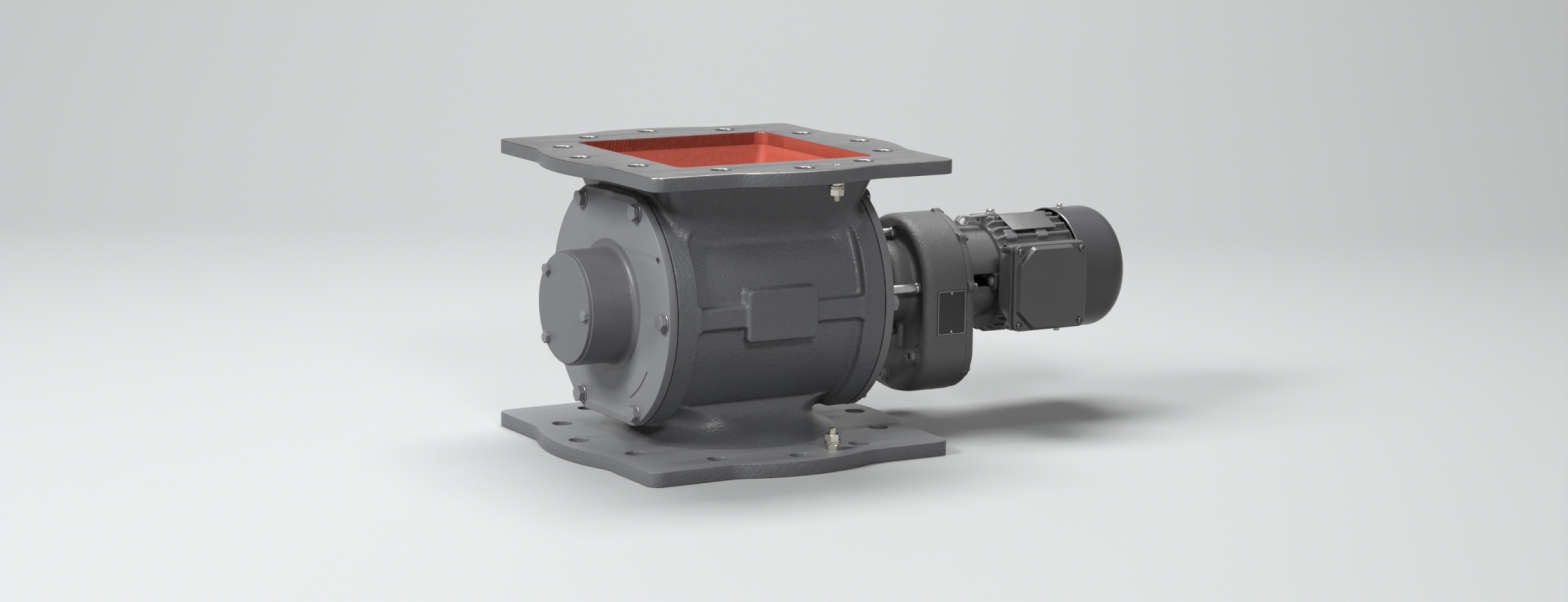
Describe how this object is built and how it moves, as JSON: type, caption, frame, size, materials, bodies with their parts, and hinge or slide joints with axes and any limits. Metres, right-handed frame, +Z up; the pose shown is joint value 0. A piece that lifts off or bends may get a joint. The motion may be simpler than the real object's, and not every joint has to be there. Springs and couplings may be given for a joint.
{
  "type": "rotary airlock valve",
  "caption": "Cast rotary airlock valve with a square inlet, round outlet, vaned rotor and inline finned gear motor on stand-off rods.",
  "frame": {"origin": "centre of the outlet flange's underside", "axes": "+X along the rotor axis towards the drive, +Z up to the inlet flange, terminal box on the -Y side"},
  "size_m": [0.8269, 0.4738, 0.38],
  "materials": {
    "casting": "grey paint over rough casting",
    "machined_plate": "painted flat plate",
    "painted_fastener": "grey painted steel",
    "stainless": "bright stainless steel",
    "gear_casting": "grey paint over casting",
    "motor_casting": "grey paint over die casting",
    "steel": "turned steel",
    "rotor_steel": "machined steel",
    "lamination": "stacked sheet",
    "copper": "varnished copper wire",
    "rubber": "matt black rubber",
    "fan_sheet": "satin dark grey paint",
    "nameplate": "bare plate",
    "plastic": "moulded plastic"
  },
  "bodies": {
    "valve": {"housing": "casting", "outboard_cover": "casting", "drive_cover": "casting", "outboard_gasket": "rubber", "drive_gasket": "rubber", "cover_bolts": "painted_fastener", "cover_washers": "painted_fastener", "bearing_cap": "machined_plate", "bearing_cap_screws": "painted_fastener", "rotor_bearing_outers": "steel", "shaft_seals": "rubber", "outlet_earth_stud": "stainless", "inlet_earth_stud": "stainless", "standoff_rods": "painted_fastener", "gear_case": "gear_casting", "oil_plugs": "painted_fastener", "gear_case_cover": "gear_casting", "gear_case_screws": "painted_fastener", "gear_nameplate": "nameplate", "nameplate_rivets": "nameplate", "output_bearing_outers": "steel", "output_oil_seal": "rubber", "layshaft_bearing_outers": "steel", "motor_adapter": "gear_casting", "adapter_bolts": "painted_fastener", "motor_frame": "motor_casting", "frame_top_bolt": "painted_fastener", "motor_plate": "nameplate", "stator_core": "lamination", "stator_windings": "copper", "motor_bearing_outers": "steel", "motor_end_shield": "motor_casting", "fan_cover": "fan_sheet", "fan_cover_screws": "painted_fastener", "terminal_box": "motor_casting", "blanking_plug": "plastic", "terminal_box_gasket": "rubber", "terminal_box_lid": "motor_casting", "terminal_lid_screws": "painted_fastener", "terminal_block": "plastic"},
    "rotor": {"vaned_rotor": "rotor_steel", "rotor_shaft": "steel", "coupling_key": "steel", "rotor_bearing_inners": "steel", "output_gear": "steel", "output_sleeve": "steel", "output_bearing_inners": "steel"},
    "layshaft": {"layshaft_gear": "steel", "layshaft": "steel", "layshaft_bearing_inners": "steel"},
    "motor_rotor": {"motor_rotor_core": "lamination", "motor_shaft": "steel", "motor_bearing_inners": "steel", "cooling_fan": "plastic"},
    "rotor_balls": {"rotor_bearing_balls": "steel"},
    "output_balls": {"output_bearing_balls": "steel"},
    "layshaft_balls": {"layshaft_bearing_balls": "steel"},
    "motor_balls": {"motor_bearing_balls": "steel"}
  },
  "joints": [
    {"name": "rotor_spin", "type": "hinge", "parent": "valve", "child": "rotor", "pos_m": [0, 0, 0.19], "axis": [1, 0, 0], "continuous": true},
    {"name": "layshaft_spin", "type": "hinge", "parent": "valve", "child": "layshaft", "pos_m": [0.297, 0, 0.118], "axis": [1, 0, 0], "continuous": true},
    {"name": "motor_spin", "type": "hinge", "parent": "valve", "child": "motor_rotor", "pos_m": [0.45, 0, 0.19], "axis": [1, 0, 0], "continuous": true},
    {"name": "rotor_balls_orbit", "type": "hinge", "parent": "valve", "child": "rotor_balls", "pos_m": [0, 0, 0.19], "axis": [1, 0, 0], "continuous": true},
    {"name": "output_balls_orbit", "type": "hinge", "parent": "valve", "child": "output_balls", "pos_m": [0.253, 0, 0.19], "axis": [1, 0, 0], "continuous": true},
    {"name": "layshaft_balls_orbit", "type": "hinge", "parent": "valve", "child": "layshaft_balls", "pos_m": [0.297, 0, 0.118], "axis": [1, 0, 0], "continuous": true},
    {"name": "motor_balls_orbit", "type": "hinge", "parent": "valve", "child": "motor_balls", "pos_m": [0.45, 0, 0.19], "axis": [1, 0, 0], "continuous": true}
  ],
  "couplings": [
    {"joint": "layshaft_spin", "follows": "rotor_spin", "ratio": -4.3333},
    {"joint": "motor_spin", "follows": "rotor_spin", "ratio": 21.667},
    {"joint": "rotor_balls_orbit", "follows": "rotor_spin", "ratio": 0.42571},
    {"joint": "output_balls_orbit", "follows": "rotor_spin", "ratio": 0.43724},
    {"joint": "layshaft_balls_orbit", "follows": "rotor_spin", "ratio": -1.7767},
    {"joint": "motor_balls_orbit", "follows": "rotor_spin", "ratio": 8.5632}
  ]
}
